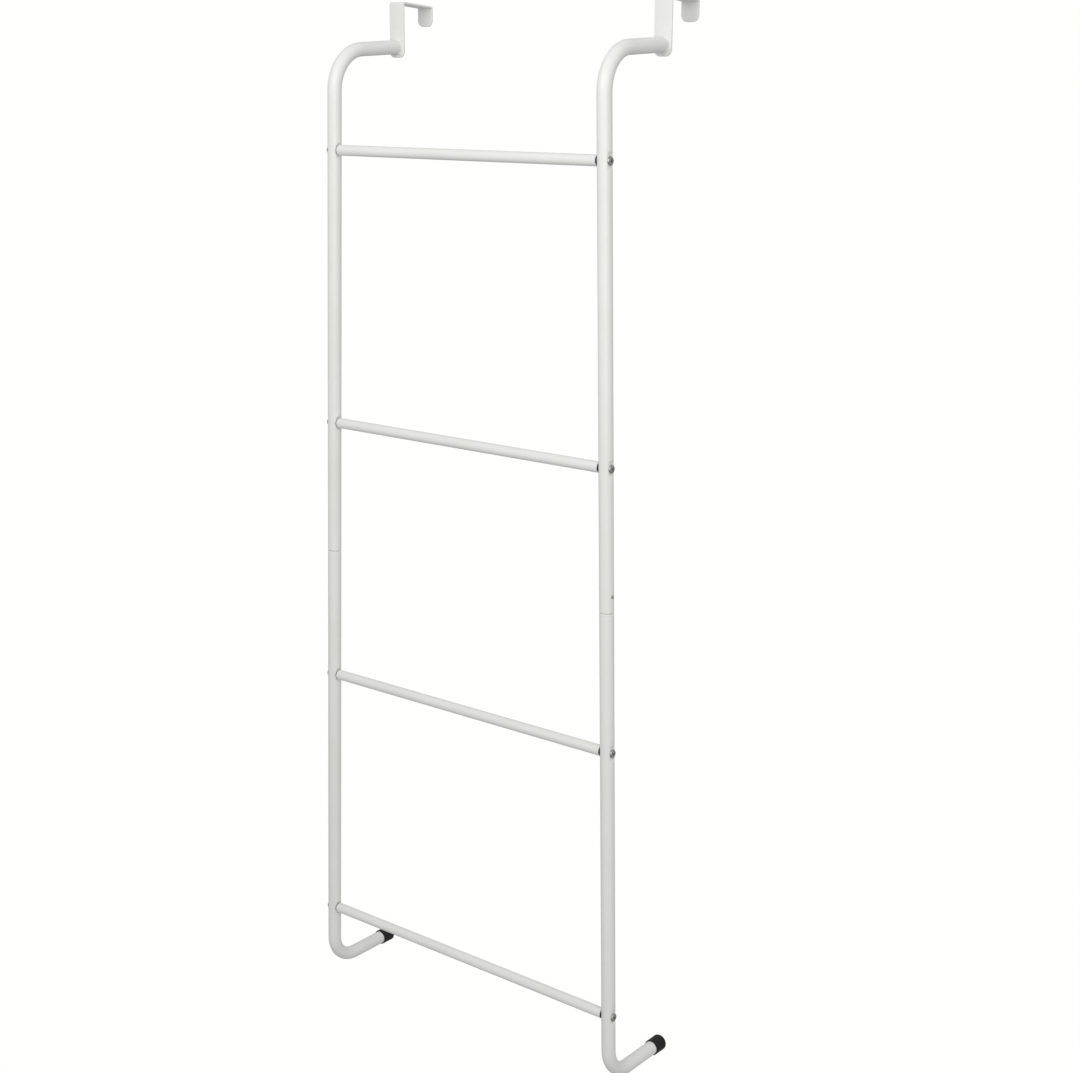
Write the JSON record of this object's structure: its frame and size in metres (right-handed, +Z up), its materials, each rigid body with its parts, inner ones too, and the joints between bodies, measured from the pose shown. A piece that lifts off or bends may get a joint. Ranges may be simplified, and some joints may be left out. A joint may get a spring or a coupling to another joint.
{
  "type": "towel rack",
  "caption": "Over-the-door towel rack: splayed round-tube side rails, round towel rungs, flat strap hooks at the top and rubber-capped feet that rest on the door.",
  "frame": {"origin": "middle of the door's top edge: midway between the two hooks and midway through the door, level with the back end of the hooks' top plates, which rests on it", "axes": "+Z up along the rack's length, +Y from the rack into the door, +X towards the right-hand rail"},
  "size_m": [0.4566, 0.161, 1.1987],
  "materials": {
    "white_coat": "semi-gloss warm white powder coat",
    "zinc_steel": "bright zinc plated",
    "spring_steel": "oiled spring steel",
    "black_rubber": "smooth moulded rubber",
    "black_nylon": "matte moulded nylon"
  },
  "bodies": {
    "rack": {"left_upper_rail": "white_coat", "left_lower_rail": "white_coat", "left_hook": "white_coat", "left_foot_cap": "black_rubber", "left_snap_spring": "spring_steel", "right_upper_rail": "white_coat", "right_lower_rail": "white_coat", "right_hook": "white_coat", "right_foot_cap": "black_rubber", "right_snap_spring": "spring_steel", "rung_1": "white_coat", "rung_plug_1_left": "black_nylon", "rung_screw_1_left": "zinc_steel", "rung_plug_1_right": "black_nylon", "rung_screw_1_right": "zinc_steel", "rung_2": "white_coat", "rung_plug_2_left": "black_nylon", "rung_screw_2_left": "zinc_steel", "rung_plug_2_right": "black_nylon", "rung_screw_2_right": "zinc_steel", "rung_3": "white_coat", "rung_plug_3_left": "black_nylon", "rung_screw_3_left": "zinc_steel", "rung_plug_3_right": "black_nylon", "rung_screw_3_right": "zinc_steel", "rung_4": "white_coat", "rung_plug_4_left": "black_nylon", "rung_screw_4_left": "zinc_steel", "rung_plug_4_right": "black_nylon", "rung_screw_4_right": "zinc_steel"},
    "left_button": {"left_snap_button": "zinc_steel"},
    "right_button": {"right_snap_button": "zinc_steel"}
  },
  "joints": [
    {"name": "left_button_press", "type": "slide", "parent": "rack", "child": "left_button", "axis": [0.9996, 0, -0.0279], "range_m": [0, 0.003], "stiffness_N_per_m": 1000, "springref_m": -0.003, "deforming": ["left_snap_spring"]},
    {"name": "right_button_press", "type": "slide", "parent": "rack", "child": "right_button", "axis": [-0.9996, 0, -0.0279], "range_m": [0, 0.003], "stiffness_N_per_m": 1000, "springref_m": -0.003, "deforming": ["right_snap_spring"]}
  ]
}
